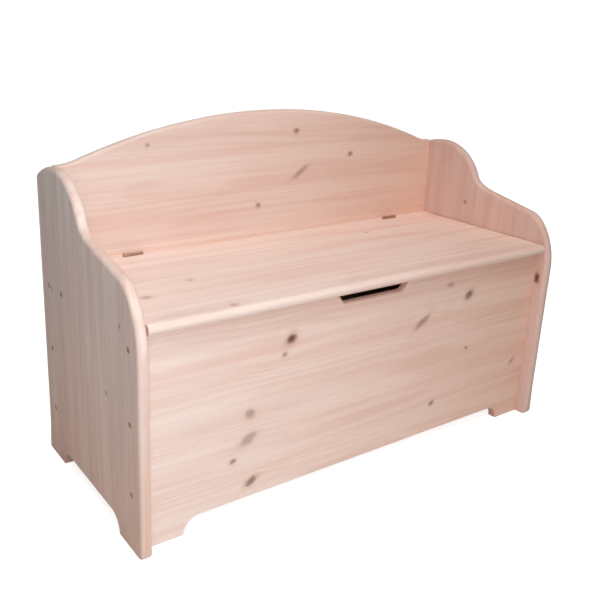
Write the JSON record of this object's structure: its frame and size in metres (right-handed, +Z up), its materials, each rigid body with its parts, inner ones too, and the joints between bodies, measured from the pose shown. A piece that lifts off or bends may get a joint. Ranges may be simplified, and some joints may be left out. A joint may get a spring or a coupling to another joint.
{
  "type": "toy box bench",
  "caption": "Pine toy box and low bench with an arched back, curved arms and a hinged seat lid held open by slotted friction stays.",
  "frame": {"origin": "on the floor, midway between the side panels and midway between their front and back edges", "axes": "+X to the right as one faces the front, +Y to the back, +Z up"},
  "size_m": [0.914, 0.396, 0.6195],
  "materials": {
    "pine_panel": "planed knotty pine, clear satin lacquer",
    "pine_lid": "planed knotty pine, clear satin lacquer",
    "pine_inside": "planed pine, unfinished",
    "dowel_end_grain": "end grain, sanded flush",
    "hinge_brass": "pressed, lightly tarnished",
    "screw_brass": "turned countersunk heads",
    "stay_steel": "zinc plated pressed steel",
    "screw_steel": "zinc plated countersunk heads"
  },
  "bodies": {
    "carcass": {"back_panel": "pine_panel", "dowel_left_back_1": "dowel_end_grain", "dowel_left_back_2": "dowel_end_grain", "dowel_left_back_3": "dowel_end_grain", "dowel_left_front_1": "dowel_end_grain", "dowel_left_front_2": "dowel_end_grain", "dowel_left_front_3": "dowel_end_grain", "dowel_right_back_1": "dowel_end_grain", "dowel_right_back_2": "dowel_end_grain", "dowel_right_back_3": "dowel_end_grain", "dowel_right_front_1": "dowel_end_grain", "dowel_right_front_2": "dowel_end_grain", "dowel_right_front_3": "dowel_end_grain", "floor_cleat_back": "pine_inside", "floor_cleat_front": "pine_inside", "floor_cleat_left": "pine_inside", "floor_cleat_right": "pine_inside", "floor_panel": "pine_inside", "front_panel": "pine_panel", "hinge_left_pin": "hinge_brass", "hinge_left_rail_leaf": "hinge_brass", "hinge_left_rail_screw_1": "screw_brass", "hinge_left_rail_screw_2": "screw_brass", "hinge_rail": "pine_panel", "hinge_right_pin": "hinge_brass", "hinge_right_rail_leaf": "hinge_brass", "hinge_right_rail_screw_1": "screw_brass", "hinge_right_rail_screw_2": "screw_brass", "left_side_panel": "pine_panel", "right_side_panel": "pine_panel", "stay_left_tension_nut": "stay_steel", "stay_left_wall_bracket": "stay_steel", "stay_left_wall_screw_1": "screw_steel", "stay_left_wall_screw_2": "screw_steel", "stay_right_tension_nut": "stay_steel", "stay_right_wall_bracket": "stay_steel", "stay_right_wall_screw_1": "screw_steel", "stay_right_wall_screw_2": "screw_steel"},
    "lid": {"hinge_left_lid_leaf": "hinge_brass", "hinge_left_lid_screw_1": "screw_brass", "hinge_left_lid_screw_2": "screw_brass", "hinge_right_lid_leaf": "hinge_brass", "hinge_right_lid_screw_1": "screw_brass", "hinge_right_lid_screw_2": "screw_brass", "lid_batten_left": "pine_inside", "lid_batten_right": "pine_inside", "lid_panel": "pine_lid", "stay_left_lid_bracket": "stay_steel", "stay_left_lid_screw_1": "screw_steel", "stay_left_lid_screw_2": "screw_steel", "stay_left_rivet": "stay_steel", "stay_right_lid_bracket": "stay_steel", "stay_right_lid_screw_1": "screw_steel", "stay_right_lid_screw_2": "screw_steel", "stay_right_rivet": "stay_steel"},
    "stay_left_arm": {"stay_left_arm": "stay_steel"},
    "stay_right_arm": {"stay_right_arm": "stay_steel"}
  },
  "joints": [
    {"name": "lid_hinge", "type": "hinge", "parent": "carcass", "child": "lid", "pos_m": [0, 0.13125, 0.3773], "axis": [-1, 0, 0], "range_deg": [0, 90]},
    {"name": "stay_left_swing", "type": "hinge", "parent": "lid", "child": "stay_left_arm", "pos_m": [-0.43325, -0.01454, 0.342], "axis": [-1, 0, 0], "range_deg": [-45, 0]},
    {"name": "stay_right_swing", "type": "hinge", "parent": "lid", "child": "stay_right_arm", "pos_m": [0.43325, -0.01454, 0.342], "axis": [-1, 0, 0], "range_deg": [-45, 0]}
  ],
  "couplings": [
    {"joint": "stay_left_swing", "follows": "lid_hinge", "ratio": -0.5},
    {"joint": "stay_right_swing", "follows": "lid_hinge", "ratio": -0.5}
  ]
}
